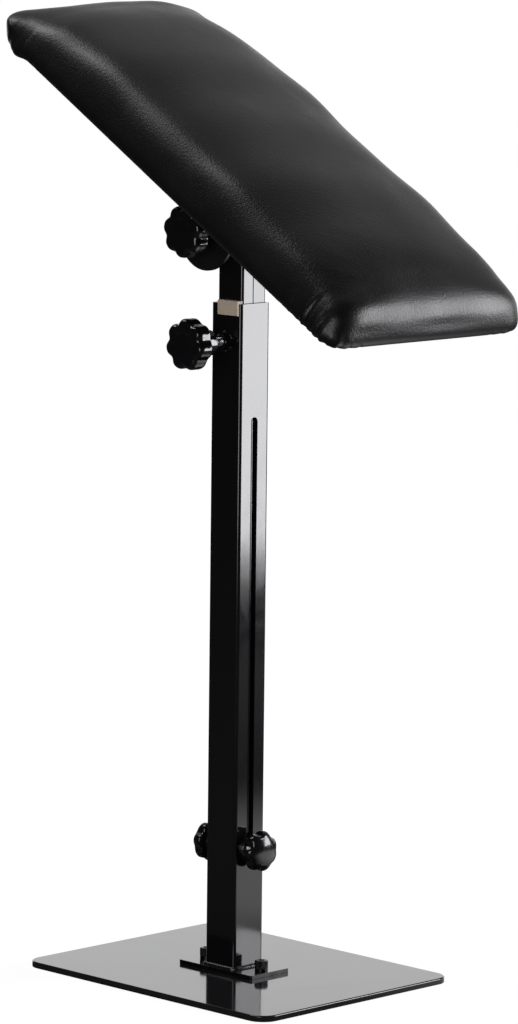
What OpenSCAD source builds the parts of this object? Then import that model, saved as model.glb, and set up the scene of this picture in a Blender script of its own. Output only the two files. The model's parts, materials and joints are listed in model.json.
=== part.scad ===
// Tattoo arm rest stand: a steel base plate carries a telescoping square post, and a padded
// rest tilts on a hinge at its top. The post's axis is the Z axis and the floor is Z = 0.
// X runs along the pad towards its low end, and the clamp and tilt knobs are on the -Y side.

/* [Base plate] */
// Length of the base plate along X
base_l = 330; // [280:5:420]
// Width of the base plate along Y
base_w = 260; // [200:5:360]
// Thickness of the base plate
base_t = 6; // [5:0.5:10]
// Radius of the base plate's corners
base_corner_r = 18; // [8:1:40]
// Chamfer round the base plate's upper edge
base_chamfer = 1; // [0.5:0.25:2]
// How far the plate's middle lies from the post along X
base_shift_x = 2.5; // [0:0.5:8]
// How far the plate's middle lies from the post along Y
base_shift_y = 2.5; // [0:0.5:8]

/* [Foot flange] */
// Length of the flange that is welded to the post's foot
flange_l = 100; // [94:2:140]
// Width of the flange
flange_w = 52; // [50:1:80]
// Thickness of the flange
flange_t = 4; // [3:0.5:8]
// Radius of the flange's corners
flange_corner_r = 2; // [1:0.5:6]
// Distance between the two foot screws
foot_screw_pitch = 76; // [74:1:80]
// Leg of the weld bead round the post's foot
weld_leg = 3; // [2:0.5:4]

/* [Outer tube] */
// Outside width of the square outer tube
tube_w = 40; // [38:0.5:44]
// Wall of the outer tube
tube_wall = 2; // [1.5:0.25:2.5]
// Outside corner radius of the outer tube
tube_corner_r = 3.5; // [3:0.25:5]
// Height of the outer tube's upper end above the floor
tube_top_z = 658; // [640:1:672]
// Width of the two long slots
slot_w = 9; // [8.5:0.25:11]
// Free length left between the slot bolt and each end of the slot
slot_end_gap = 0.5; // [0.3:0.1:2]

/* [Inner tube] */
// Outside width of the square inner tube
inner_w = 33; // [32:0.25:33.5]
// Wall of the inner tube
inner_wall = 2; // [1.5:0.25:2.5]
// Outside corner radius of the inner tube
inner_corner_r = 3; // [2.75:0.25:4]
// Height of the slot bolt at the lowest setting
slot_bolt_z = 127; // [110:1:150]
// Travel of the height adjustment
lift_travel = 417; // [300:1:420]
// Length of inner tube below the slot bolt
inner_tail = 25; // [18:1:40]
// Working clearance of the sliding pieces
slide_gap = 0.1; // [0.05:0.05:0.2]

/* [Wear strip] */
// Width of the strip between the clamp screw and the inner tube
strip_w = 27; // [18:1:28]
// Distance of the strip's middle from the post's axis
strip_shift = 4.2; // [0:0.2:4.2]
// Height of the strip's lip above the outer tube
strip_lip_h = 3; // [2:0.5:5]
// Length of the strip's outer leaf
strip_outer_l = 11; // [6:1:14]
// Thickness of the strip's outer leaf
strip_outer_t = 2; // [1:0.25:3]
// Length of the strip inside the tube
strip_inner_l = 60; // [50:1:90]

/* [Fasteners] */
// Diameter of the clamp stud, the slot bolt, the hinge bolt and the foot screws
bolt_d = 8; // [7:0.5:8]
// Diametral clearance of a threaded or turning fit
fit_gap = 0.1; // [0.06:0.02:0.18]
// Diametral clearance of a hole that a bolt passes through
hole_gap = 1; // [0.6:0.1:1.2]
// Seat gap between faces that meet
seat_gap = 0.15; // [0.1:0.05:0.3]
// Height of the clamp screw above the floor
clamp_z = 621.5; // [612:0.5:628]
// Width across the flats of the welded nut
nut_flats = 13; // [12.5:0.5:17]
// Height of the welded nut
nut_h = 6.8; // [6:0.2:8]
// Diameter of the foot screws' heads
cap_head_d = 13; // [12.5:0.5:14]
// Height of the foot screws' heads
cap_head_h = 8; // [6:0.5:9]
// Width across the flats of the foot screws' sockets
socket_flats = 6; // [5:0.5:7]
// Depth of the foot screws' sockets
socket_depth = 4; // [3:0.5:5]
// Thickness of the foot screws' lock washers
lock_washer_t = 2; // [1.5:0.25:2.5]
// Diameter of the washers beside the slots
slot_washer_d = 24; // [20:1:28]
// Thickness of the washers beside the slots
slot_washer_t = 2; // [1.5:0.25:2.5]

/* [Large star knobs] */
// Number of lobes on a star knob
knob_lobes = 7; // [5:1:8]
// Diameter of the clamp knob and the tilt knob
knob_d = 50; // [44:1:56]
// Height of the large knobs
knob_h = 35.5; // [32:0.5:38]
// Height of the large knobs' lobed head
knob_head_h = 18; // [15:0.5:21]
// Diameter of the large knobs' hub at its free end
knob_hub_d = 25; // [20:0.5:28]
// Depth of the hollows between the large knobs' lobes
knob_valley = 3.4; // [2:0.2:4.4]
// Free length of the clamp stud between the welded nut and the knob
stud_free = 15.2; // [8:0.2:24]

/* [Small star knobs] */
// Diameter of the two slot knobs
slot_knob_d = 40; // [34:1:46]
// Height of the slot knobs
slot_knob_h = 22; // [18:0.5:26]
// Height of the slot knobs' lobed head
slot_knob_head_h = 15; // [10:0.5:16]
// Diameter of the slot knobs' hub at its free end
slot_knob_hub_d = 20; // [18:0.5:24]
// Depth of the hollows between the slot knobs' lobes
slot_knob_valley = 2.8; // [1.6:0.2:3.6]
// How far the front slot knob is turned
front_knob_turn = 26; // [0:1:51]
// How far the rear slot knob is turned
rear_knob_turn = 37; // [0:1:51]

/* [Knob inserts] */
// Diameter of the threaded brass inserts
insert_d = 12; // [11:0.5:14]
// Length of the threaded brass inserts
insert_l = 13; // [10:0.5:14]

/* [Tilt hinge] */
// Height of the hinge axis at the lowest setting
pivot_z = 729.5; // [725:0.5:760]
// Tilt of the pad, low end towards +X
tilt = 30.9; // [0:0.1:45]
// How far the tilt knob is turned, so that a hollow points up
tilt_knob_turn = 5; // [0:1:51]
// Outside diameter of the hinge sleeve
sleeve_d = 30; // [28:1:34]
// Wall of the hinge sleeve
sleeve_wall = 3; // [2:0.5:5]
// Thickness of the bushes' flanges
bush_flange_t = 2; // [1:0.25:3]
// Length of the bushes inside the sleeve
bush_l = 14; // [8:1:20]
// Outside width of the hinge bracket
bracket_w = 96; // [90:1:110]
// Sheet thickness of the hinge bracket
bracket_t = 3; // [2:0.5:4]
// Outside bend radius of the hinge bracket
bracket_bend_r = 5; // [4.5:0.5:8]
// Radius of the rounded end of the bracket's ears
ear_r = 36; // [30:1:40]
// Distance of the ears' arc centre below the hinge axis
ear_drop = 3.5; // [0:0.5:8]
// Distance from the hinge axis to the pad's underside
pad_rise = 43; // [42:0.1:60]
// Diameter of the hinge bolt's domed head
dome_d = 20; // [18:0.5:22]
// Height of the hinge bolt's domed head
dome_h = 4.5; // [3.5:0.25:6]

/* [Bracket screws] */
// Diameter of the bracket screws
screw_d = 6; // [5:0.5:6]
// Width across the flats of the bracket screws' heads
screw_flats = 10; // [9:0.5:11]
// Height of the bracket screws' heads
screw_head_h = 4; // [3:0.25:5]
// Diameter of the bracket screws' washers
screw_washer_d = 12.5; // [12:0.5:14]
// Thickness of the bracket screws' washers
screw_washer_t = 1.6; // [1:0.2:2]
// Distance between the bracket screws along the pad
screw_pitch_x = 44; // [36:1:50]
// Distance between the bracket screws across the pad
screw_pitch_y = 60; // [50:1:68]
// Diameter of the tee nuts' flanges
tee_flange_d = 19; // [16:0.5:22]
// Thickness of the tee nuts' flanges
tee_flange_t = 1.5; // [1:0.25:2]
// Diameter of the tee nuts' barrels
tee_barrel_d = 7.8; // [7.4:0.1:9]
// Length of the tee nuts' barrels
tee_barrel_l = 9; // [7:0.5:10]

/* [Pad] */
// Length of the pad, without the bulge of its ends
pad_l = 524; // [440:1:600]
// Width of the pad, without the bulge of its sides
pad_w = 253; // [220:1:300]
// Distance of the pad's middle from the hinge, up the slope
pad_shift = 10.6; // [0:0.1:20]
// Height at which the pad's sides begin to round over
pad_side_h = 17; // [14:1:30]
// Height of the pad's rounded shoulders
pad_shoulder_h = 36; // [24:1:44]
// Breadth of the rounded shoulders along the sides
pad_shoulder_r = 29; // [20:1:40]
// Breadth of the rounded shoulders at the ends
pad_end_r = 22; // [16:1:40]
// Rise of the crown over the shoulders
pad_crown = 15; // [6:0.5:20]
// How far the upper face falls towards the high end
pad_fall_high = 18; // [0:1:28]
// How far the upper face falls towards the low end
pad_fall_low = 20; // [0:1:28]
// Depth of the shallow dip across the middle
pad_dip = 1.5; // [0:0.5:5]
// Radius of the pad's corners at its lower edge
pad_corner_r = 16; // [12:1:30]
// Radius of the pad's corners where its shoulders meet the upper face
pad_top_corner_r = 76; // [40:1:84]
// How far the sides bulge out at half their height
pad_bulge = 2; // [0:0.5:4]
// Radius of the pad's lower edge
pad_edge_r = 4; // [3:0.5:6]
// Thickness of the cover
cover_t = 1.2; // [0.8:0.1:2]
// Width of the cover's hem under the board
hem_w = 26; // [18:1:40]
// Thickness of the plywood board
board_t = 12; // [10:1:18]
// Gap between the pad's layers
layer_gap = 0.3; // [0.2:0.05:0.5]
// Thickness of the cloth under the board
cloth_t = 0.8; // [0.5:0.1:1]

/* [Hidden] */
$fn = 64;

// One overrun for every cut
cut = 1;
// Heights that the base stack gives
flange_z = base_t;
tube_foot_z = base_t + flange_t;
// Bore of the outer tube
tube_bore = tube_w - 2 * tube_wall;
tube_bore_r = tube_corner_r - tube_wall;
// The strip fills the bore on one side and pushes the inner tube against the other
strip_t = tube_bore - inner_w - 3 * slide_gap;
mast_y = tube_bore / 2 - inner_w / 2 - slide_gap;
strip_bottom_z = tube_top_z - strip_inner_l;
// Slot ends that stop the slot bolt
slot_low_z = slot_bolt_z - bolt_d / 2 - slot_end_gap;
slot_high_z = slot_bolt_z + lift_travel + bolt_d / 2 + slot_end_gap;
// Inner tube
inner_bore = inner_w - 2 * inner_wall;
inner_bore_r = inner_corner_r - inner_wall;
inner_bottom_z = slot_bolt_z - inner_tail;
saddle_share = 0.3;
inner_top_z = pivot_z - sleeve_d / 2 * saddle_share;
// Holes
clear_d = bolt_d + hole_gap;
tapped_d = bolt_d + fit_gap;
// Clamp screw, from its tip on the strip to the knob
stud_tip_y = -tube_bore / 2;
nut_face_y = -tube_w / 2 - nut_h;
clamp_knob_y = nut_face_y - stud_free;
stud_grip = knob_head_h;
// Slot knobs on both ends of the slot bolt
slot_washer_x = tube_w / 2 + seat_gap;
slot_knob_x = slot_washer_x + slot_washer_t + seat_gap;
insert_inset = 1;
// Hinge, with the bracket's ears either side of the sleeve
ear_in_y = bracket_w / 2 - bracket_t;
sleeve_l = 2 * (ear_in_y - bush_flange_t - 2 * seat_gap);
bush_face_y = sleeve_l / 2 + seat_gap;
sleeve_bore = sleeve_d - 2 * sleeve_wall;
tilt_knob_y = bracket_w / 2 + seat_gap;
neck_l = bracket_t - seat_gap;
bracket_h = pad_rise - seat_gap;
screw_hole_share = 0.6;
screw_hole_d = screw_d + hole_gap * screw_hole_share;
// Pad layers above the pad's underside
board_z = cover_t;
board_top_z = board_z + board_t;
board_inset = cover_t + pad_edge_r + layer_gap;
tee_hole_d = tee_barrel_d + fit_gap;
screw_tip_z = board_top_z - seat_gap;
// Number of points on the pad's outline, and rings on its lower edge, shoulder and crown
pad_corner_n = 6;
pad_long_n = 9;
pad_edge_n = 2;
pad_shoulder_n = 4;
pad_crown_n = 5;
// The crown's rings stop this share of the way to the pad's middle line
crown_reach_share = 0.97;
// Share of the ends' fall that the shoulders have, and length share that the dip takes
shoulder_fall_share = 0.8;
dip_length_share = 0.3;
// Knob outline: points on each lobe, and how sharply the hollows narrow
lobe_n = 8;
valley_power = 1.6;
// Knob head in rings: share of its height, of its radius, and of its hollows' depth
head_rings_share = [[0, 0.9, 0.6], [0.1, 0.98, 0.85], [0.22, 1, 1], [0.74, 1, 1.1],
                    [0.88, 0.97, 1.3], [0.97, 0.91, 1.6], [1, 0.82, 1.8], [0.985, 0.62, 1.2],
                    [0.96, 0.42, 0]];
// The small knobs' heads are domed: the same shares for them
dome_rings_share = [[0, 0.9, 0.6], [0.1, 0.98, 0.85], [0.22, 1, 1], [0.42, 1, 1.1],
                    [0.56, 0.97, 1.1], [0.7, 0.89, 0.9], [0.82, 0.76, 0.6],
                    [0.92, 0.56, 0.3], [0.98, 0.32, 0], [1, 0.1, 0]];
hub_flare_share = 1.12;
hub_overlap_share = 0.2;
chamfer_share = 0.12;
weld_face_share = 0.8;
knurl_n = 36;

function arc(r, from, to, n) = [for (i = [0 : n]) let (a = from + (to - from) * i / n)
    [r * cos(a), r * sin(a)]];
function moved(points, x, y) = [for (p = points) [p[0] + x, p[1] + y]];
function spread(a, b, n) = [for (i = [1 : n]) a + (b - a) * i / (n + 1)];

// Lobed outline of a knob: hollows of the given depth between the lobes
function hollow_at(a) = pow((1 - cos(knob_lobes * a)) / 2, valley_power);
function lobed(r, depth) = [for (i = [0 : knob_lobes * lobe_n - 1])
    let (a = 90 + 360 * i / (knob_lobes * lobe_n), q = r - depth * hollow_at(a - 90))
    [q * cos(a), q * sin(a)]];

// Outline of the pad at one height, drawn in at the ends and at the sides, with the same
// number of points at any size
function pad_ring(end_inset, side_inset, corner_r) =
    let (hx = pad_l / 2 - end_inset, hy = pad_w / 2 - side_inset,
         r = min(hy, max(corner_r, pad_edge_r)),
         cx = hx - r, cy = hy - r)
    concat(moved(arc(r, 0, 90, pad_corner_n - 1), cx, cy),
           [for (x = spread(cx, -cx, pad_long_n)) [x, hy]],
           moved(arc(r, 90, 180, pad_corner_n - 1), -cx, cy),
           moved(arc(r, 180, 270, pad_corner_n - 1), -cx, -cy),
           [for (x = spread(-cx, cx, pad_long_n)) [x, -hy]],
           moved(arc(r, 270, 360, pad_corner_n - 1), cx, -cy));

function even_ring(inset, z) =
    [for (p = pad_ring(inset, inset, pad_corner_r - inset)) [p[0], p[1], z]];

// How far the upper face lies below its highest level at x along the pad
function fall_at(x) = let (u = x / (pad_l / 2), v = u / dip_length_share)
    pad_fall_high * pow(max(-u, 0), 3) + pad_fall_low * pow(max(u, 0), 3) + pad_dip * exp(-v * v);

// Lower edge, shoulder and crown, each shrunk by e from the outside
function edge_ring(e, a) =
    even_ring(pad_edge_r - (pad_edge_r - e) * sin(a), pad_edge_r - (pad_edge_r - e) * cos(a));

function shoulder_ring(e, a) =
    let (s = 1 - cos(a), h = sin(a),
         ring = pad_ring(e + (pad_end_r - e) * s, e + (pad_shoulder_r - e) * s,
                         pad_corner_r - e + (pad_top_corner_r - pad_corner_r + e) * s))
    [for (p = ring) [p[0], p[1], pad_side_h + (pad_shoulder_h - e) * h
                                 - shoulder_fall_share * h * h * fall_at(p[0])]];

function crown_ring(e, t) =
    let (inwards = t * (pad_w / 2 * crown_reach_share - pad_shoulder_r),
         ring = pad_ring(pad_end_r + inwards, pad_shoulder_r + inwards, pad_top_corner_r * (1 - t)),
         z = pad_side_h + pad_shoulder_h - e + pad_crown * (1 - (1 - t) * (1 - t)),
         share = shoulder_fall_share + (1 - shoulder_fall_share) * t)
    [for (p = ring) [p[0], p[1], z - share * fall_at(p[0])]];

// Rings of the cushion from its underside to its crown
function pad_rings(e) = concat(
    [for (i = [0 : pad_edge_n]) edge_ring(e, 90 * i / pad_edge_n)],
    [even_ring(e - pad_bulge, (pad_edge_r + pad_side_h) / 2), even_ring(e, pad_side_h)],
    [for (i = [1 : pad_shoulder_n]) shoulder_ring(e, 90 * i / pad_shoulder_n)],
    [for (i = [1 : pad_crown_n]) crown_ring(e, i / pad_crown_n)]);

function level(points, z) = [for (p = points) [p[0], p[1], z]];

// Closed skin through a stack of rings that all have the same even number of points. Both
// ends are closed by strips that join the first point to the last, and so on inwards.
module ring_skin(rings) {
    n = len(rings[0]);
    m = len(rings);
    top = (m - 1) * n;
    ends = [for (i = [0 : n / 2 - 2]) let (j = n - 1 - i)
        each [[i, i + 1, j], [i + 1, j - 1, j],
              [top + i, top + j, top + i + 1], [top + i + 1, top + j, top + j - 1]]];
    sides = [for (k = [0 : m - 2], i = [0 : n - 1]) let (j = (i + 1) % n, a = k * n, b = a + n)
        each [[a + i, b + j, a + j], [a + i, b + i, b + j]]];
    polyhedron(points = [for (ring = rings) each ring], faces = concat(sides, ends));
}

module rounded_rect(l, w, r) {
    square([l - 2 * r, w], center = true);
    square([l, w - 2 * r], center = true);
    for (x = [-1, 1], y = [-1, 1])
        translate([x * (l / 2 - r), y * (w / 2 - r)]) circle(r);
}

// Plate with rounded corners whose upper edge is chamfered by c
module chamfered_plate(l, w, t, r, c) {
    linear_extrude(t - c) rounded_rect(l, w, r);
    translate([0, 0, t - c]) {
        for (x = [-1, 1], y = [-1, 1])
            translate([x * (l / 2 - r), y * (w / 2 - r), 0]) cylinder(r1 = r, r2 = r - c, h = c);
        rotate([90, 0, 0])
            linear_extrude(w - 2 * r, center = true)
            polygon([[-l / 2, 0], [l / 2, 0], [l / 2 - c, c], [c - l / 2, c]]);
        rotate([90, 0, 90])
            linear_extrude(l - 2 * r, center = true)
            polygon([[-w / 2, 0], [w / 2, 0], [w / 2 - c, c], [c - w / 2, c]]);
    }
}

module square_tube(w, wall, r, z0, z1) {
    translate([0, 0, z0])
    linear_extrude(z1 - z0)
    difference() {
        rounded_rect(w, w, r);
        rounded_rect(w - 2 * wall, w - 2 * wall, r - wall);
    }
}

// Cylinder from the origin along +Z, and the same lying along another axis
module along_x() { rotate([0, 90, 0]) children(); }
module along_minus_x() { rotate([0, -90, 0]) children(); }
module along_minus_y() { rotate([90, 0, 0]) children(); }
module along_y() { rotate([-90, 0, 0]) children(); }

module ring_disc(d, bore, t) {
    difference() {
        cylinder(d = d, h = t);
        translate([0, 0, -cut]) cylinder(d = bore, h = t + 2 * cut);
    }
}

module hex_prism(flats, h) {
    cylinder(d = flats / cos(30), h = h, $fn = 6);
}

// Star knob along +Z: the hub's free end at z = 0 and the lobed face at z = h
module star_knob(d, h, head_h, hub_d, valley, bore_d, bore_l, rings_share) {
    difference() {
        union() {
            translate([0, 0, h - head_h])
                ring_skin([for (s = rings_share)
                    level(lobed(d / 2 * s[1], valley * s[2]), head_h * s[0])]);
            cylinder(d1 = hub_d, d2 = hub_d * hub_flare_share,
                     h = h - head_h + head_h * hub_overlap_share);
        }
        translate([0, 0, -cut]) cylinder(d = bore_d, h = bore_l + cut);
    }
}

// Threaded insert along +Z with its open end at z = 0
module knob_insert() {
    ring_disc(insert_d, tapped_d, insert_l);
}

// The foot screws stand either side of the post
module at_foot_screws() {
    for (side = [-1, 1]) translate([side * foot_screw_pitch / 2, 0, 0]) children();
}

// The hinge's own frame: origin on the hinge axis, X along the pad, Z square to its board
module at_hinge() {
    translate([0, mast_y, pivot_z]) rotate([0, tilt, 0]) children();
}

// The pad's own frame: origin in the middle of its underside
module at_pad() {
    at_hinge() translate([-pad_shift, 0, pad_rise]) children();
}

module at_bracket_screws() {
    for (x = [-1, 1], y = [-1, 1])
        translate([x * screw_pitch_x / 2, y * screw_pitch_y / 2, 0]) children();
}

module base_plate() {
    color([0.06, 0.06, 0.065])
    difference() {
        translate([base_shift_x, base_shift_y, 0])
            chamfered_plate(base_l, base_w, base_t, base_corner_r, base_chamfer);
        at_foot_screws() translate([0, 0, -cut]) cylinder(d = tapped_d, h = base_t + 2 * cut);
    }
}

module foot_flange() {
    color([0.07, 0.07, 0.075])
    difference() {
        translate([0, 0, flange_z])
            linear_extrude(flange_t) rounded_rect(flange_l, flange_w, flange_corner_r);
        at_foot_screws()
            translate([0, 0, flange_z - cut]) cylinder(d = clear_d, h = flange_t + 2 * cut);
    }
}

module foot_weld() {
    bead_w = tube_w + 2 * weld_leg;
    color([0.09, 0.09, 0.1])
    translate([0, 0, tube_foot_z])
    difference() {
        chamfered_plate(bead_w, bead_w, weld_leg, tube_corner_r + weld_leg,
                        weld_leg * weld_face_share);
        translate([0, 0, -cut])
            linear_extrude(weld_leg + 2 * cut) rounded_rect(tube_w, tube_w, tube_corner_r);
    }
}

module foot_screws() {
    head_z = tube_foot_z + lock_washer_t;
    color([0.1, 0.1, 0.105])
    at_foot_screws()
    difference() {
        union() {
            cylinder(d = bolt_d, h = head_z + cut);
            translate([0, 0, head_z]) cylinder(d = cap_head_d, h = cap_head_h, $fn = knurl_n);
        }
        translate([0, 0, head_z + cap_head_h - socket_depth])
            hex_prism(socket_flats, socket_depth + cut);
    }
}

module foot_lock_washers() {
    color([0.12, 0.12, 0.125])
    at_foot_screws()
        translate([0, 0, tube_foot_z]) ring_disc(cap_head_d, tapped_d, lock_washer_t);
}

module outer_tube() {
    color([0.06, 0.06, 0.065])
    difference() {
        square_tube(tube_w, tube_wall, tube_corner_r, tube_foot_z, tube_top_z);
        slot_cut();
        translate([0, -tube_bore / 2 + cut, clamp_z])
            along_minus_y() cylinder(d = clear_d, h = tube_wall + 2 * cut);
    }
}

// The cut for both long slots, with round ends
module slot_cut() {
    reach = tube_w + 2 * cut;
    low = slot_low_z + slot_w / 2;
    high = slot_high_z - slot_w / 2;
    translate([-reach / 2, -slot_w / 2, low]) cube([reach, slot_w, high - low]);
    for (z = [low, high])
        translate([-reach / 2, 0, z]) along_x() cylinder(d = slot_w, h = reach);
}

module clamp_nut() {
    color([0.08, 0.08, 0.085])
    translate([0, -tube_w / 2, clamp_z])
    along_minus_y()
    difference() {
        intersection() {
            hex_prism(nut_flats, nut_h);
            chamfer_cone(nut_flats, nut_h);
        }
        translate([0, 0, -cut]) cylinder(d = tapped_d, h = nut_h + 2 * cut);
    }
}

// Cone that takes the corners off the free end of a hexagon
module chamfer_cone(flats, h) {
    c = flats * chamfer_share;
    cylinder(d1 = flats / cos(30) + 2 * h, d2 = flats - c, h = h + c / 2);
}

module wear_strip() {
    outer_y = -tube_w / 2 - seat_gap;
    inner_y = -tube_bore / 2 + slide_gap;
    lip_z = tube_top_z + strip_lip_h;
    under_z = tube_top_z + seat_gap;
    leaf_z = lip_z - strip_lip_h - strip_outer_l;
    color([0.58, 0.52, 0.46]) {
        translate([strip_shift, 0, 0])
        rotate([90, 0, 90])
        linear_extrude(strip_w, center = true)
        polygon([[inner_y + strip_t, under_z], [inner_y + strip_t, lip_z],
                 [outer_y - strip_outer_t, lip_z], [outer_y - strip_outer_t, leaf_z],
                 [outer_y, leaf_z], [outer_y, under_z]]);
        intersection() {
            translate([strip_shift - strip_w / 2, inner_y, strip_bottom_z])
                cube([strip_w, strip_t, lip_z - strip_bottom_z]);
            translate([0, 0, strip_bottom_z - cut])
                linear_extrude(lip_z - strip_bottom_z + 2 * cut)
                rounded_rect(tube_bore - 2 * slide_gap, tube_bore - 2 * slide_gap, tube_bore_r);
        }
    }
}

module clamp_stud() {
    length = stud_tip_y - clamp_knob_y + stud_grip - seat_gap;
    color([0.75, 0.75, 0.77])
    translate([0, stud_tip_y, clamp_z]) along_minus_y() cylinder(d = bolt_d, h = length);
}

module clamp_knob() {
    color([0.05, 0.05, 0.05])
    translate([0, clamp_knob_y, clamp_z])
    along_minus_y()
        star_knob(knob_d, knob_h, knob_head_h, knob_hub_d, knob_valley, tapped_d, stud_grip,
                  head_rings_share);
}

module inner_tube() {
    color([0.05, 0.05, 0.055])
    difference() {
        translate([0, mast_y, 0])
            square_tube(inner_w, inner_wall, inner_corner_r, inner_bottom_z, inner_top_z);
        translate([0, mast_y + inner_w, pivot_z])
            along_minus_y() cylinder(d = sleeve_d + fit_gap, h = 2 * inner_w);
        translate([-inner_w, 0, slot_bolt_z]) along_x() cylinder(d = tapped_d, h = 2 * inner_w);
    }
}

module slot_bolt() {
    reach = slot_knob_x + insert_inset + insert_l;
    color([0.75, 0.75, 0.77])
    translate([-reach, 0, slot_bolt_z]) along_x() cylinder(d = bolt_d, h = 2 * reach);
}

module slot_washers() {
    color([0.72, 0.72, 0.74])
    for (side = [0, 1])
        mirror([side, 0, 0])
        translate([slot_washer_x, 0, slot_bolt_z])
        along_x() ring_disc(slot_washer_d, tapped_d, slot_washer_t);
}

module front_knob_insert() {
    color([0.78, 0.62, 0.3])
    translate([slot_knob_x + insert_inset, 0, slot_bolt_z]) along_x() knob_insert();
}

module rear_knob_insert() {
    color([0.78, 0.62, 0.3])
    translate([-slot_knob_x - insert_inset, 0, slot_bolt_z]) along_minus_x() knob_insert();
}

module slot_knob_shape() {
    star_knob(slot_knob_d, slot_knob_h, slot_knob_head_h, slot_knob_hub_d, slot_knob_valley,
              insert_d + fit_gap, insert_inset + insert_l + seat_gap, dome_rings_share);
}

module front_slot_knob() {
    color([0.05, 0.05, 0.05])
    translate([slot_knob_x, 0, slot_bolt_z])
    along_x()
    rotate([0, 0, front_knob_turn])
    slot_knob_shape();
}

module rear_slot_knob() {
    color([0.05, 0.05, 0.05])
    translate([-slot_knob_x, 0, slot_bolt_z])
    along_minus_x()
    rotate([0, 0, rear_knob_turn])
    slot_knob_shape();
}

module hinge_sleeve() {
    color([0.06, 0.06, 0.065])
    translate([0, mast_y + sleeve_l / 2, pivot_z])
    along_minus_y() ring_disc(sleeve_d, sleeve_bore, sleeve_l);
}

module hinge_bushes() {
    color([0.85, 0.84, 0.8])
    translate([0, mast_y, pivot_z])
    for (side = [0, 1])
        mirror([0, side, 0])
        translate([0, -bush_face_y, 0])
        difference() {
            union() {
                along_minus_y() cylinder(d = sleeve_d, h = bush_flange_t);
                along_y() cylinder(d = sleeve_bore - fit_gap, h = bush_l);
            }
            translate([0, bush_l + cut, 0])
                along_minus_y() cylinder(d = tapped_d, h = bush_l + bush_flange_t + 2 * cut);
        }
}

module hinge_bolt() {
    far_y = bracket_w / 2 + seat_gap;
    length = far_y + tilt_knob_y + insert_inset + insert_l;
    dome_r = (dome_d * dome_d / 4 + dome_h * dome_h) / (2 * dome_h);
    color([0.7, 0.7, 0.72])
    at_hinge() {
        translate([0, far_y, 0]) along_minus_y() cylinder(d = bolt_d, h = length);
        translate([-bolt_d / 2, far_y - neck_l, -bolt_d / 2]) cube([bolt_d, neck_l, bolt_d]);
        translate([0, far_y, 0])
        along_y()
        intersection() {
            cylinder(d = dome_d, h = dome_h);
            translate([0, 0, dome_h - dome_r]) sphere(dome_r);
        }
    }
}

module tilt_knob_insert() {
    color([0.78, 0.62, 0.3])
    at_hinge()
    translate([0, -tilt_knob_y - insert_inset, 0])
    along_minus_y() knob_insert();
}

module tilt_knob() {
    color([0.05, 0.05, 0.05])
    at_hinge()
    translate([0, -tilt_knob_y, 0])
    along_minus_y()
    rotate([0, 0, tilt_knob_turn])
    star_knob(knob_d, knob_h, knob_head_h, knob_hub_d, knob_valley,
              insert_d + fit_gap, insert_inset + insert_l + seat_gap, head_rings_share);
}

// Outline of the bracket seen along the hinge: two straight sides and a round lower end
function ear_outline() = concat([[ear_r, bracket_h]], [[-ear_r, bracket_h]],
    moved(arc(ear_r, 180, 360, 40), 0, -ear_drop));

// Section of the folded sheet, open at the bottom, with its outside corners bent
function fold_section(w, h, r, drop) = concat(
    [[w / 2, -drop]], moved(arc(r, 0, 90, 8), w / 2 - r, h - r),
    moved(arc(r, 90, 180, 8), r - w / 2, h - r), [[-w / 2, -drop]]);

module tilt_bracket() {
    drop = ear_drop + ear_r + cut;
    neck_d = bolt_d + fit_gap;
    color([0.06, 0.06, 0.065])
    at_hinge()
    difference() {
        intersection() {
            along_minus_y() linear_extrude(bracket_w + 2 * cut, center = true) polygon(ear_outline());
            rotate([90, 0, 90])
            linear_extrude(2 * ear_r + 2 * cut, center = true)
            difference() {
                polygon(fold_section(bracket_w, bracket_h, bracket_bend_r, drop));
                polygon(fold_section(bracket_w - 2 * bracket_t, bracket_h - bracket_t,
                                     bracket_bend_r - bracket_t, drop + cut));
            }
        }
        translate([0, -ear_in_y + cut, 0])
            along_minus_y() cylinder(d = bolt_d + fit_gap, h = bracket_t + 2 * cut);
        translate([-neck_d / 2, ear_in_y - cut, -neck_d / 2])
            cube([neck_d, bracket_t + 2 * cut, neck_d]);
        at_bracket_screws()
            translate([0, 0, bracket_h - bracket_t - cut])
            cylinder(d = screw_hole_d, h = bracket_t + 2 * cut);
    }
}

// Height of the bracket's web seen from the pad's underside
web_z = -seat_gap - bracket_t;

module in_pad_hinge() {
    at_hinge() translate([0, 0, pad_rise]) children();
}

module bracket_screws() {
    head_z = web_z - screw_washer_t - screw_head_h;
    color([0.7, 0.7, 0.72])
    in_pad_hinge()
    at_bracket_screws()
    translate([0, 0, head_z]) {
        intersection() {
            hex_prism(screw_flats, screw_head_h);
            translate([0, 0, screw_head_h])
                mirror([0, 0, 1]) chamfer_cone(screw_flats, screw_head_h);
        }
        cylinder(d = screw_d, h = screw_tip_z - head_z);
    }
}

module bracket_washers() {
    color([0.72, 0.72, 0.74])
    in_pad_hinge()
    at_bracket_screws()
        translate([0, 0, web_z - screw_washer_t])
        ring_disc(screw_washer_d, screw_d + fit_gap, screw_washer_t);
}

module tee_nuts() {
    color([0.72, 0.72, 0.74])
    in_pad_hinge()
    at_bracket_screws()
    difference() {
        union() {
            translate([0, 0, board_top_z]) cylinder(d = tee_flange_d, h = tee_flange_t);
            translate([0, 0, board_top_z - tee_barrel_l])
                cylinder(d = tee_barrel_d, h = tee_barrel_l + tee_flange_t / 2);
        }
        translate([0, 0, board_z]) cylinder(d = screw_d + fit_gap, h = board_t + cut + tee_flange_t);
    }
}

module board_shape(z0, z1, grow) {
    translate([0, 0, z0])
        linear_extrude(z1 - z0)
        rounded_rect(pad_l - 2 * board_inset + 2 * grow, pad_w - 2 * board_inset + 2 * grow,
                     pad_corner_r - pad_edge_r + grow);
}

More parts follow.
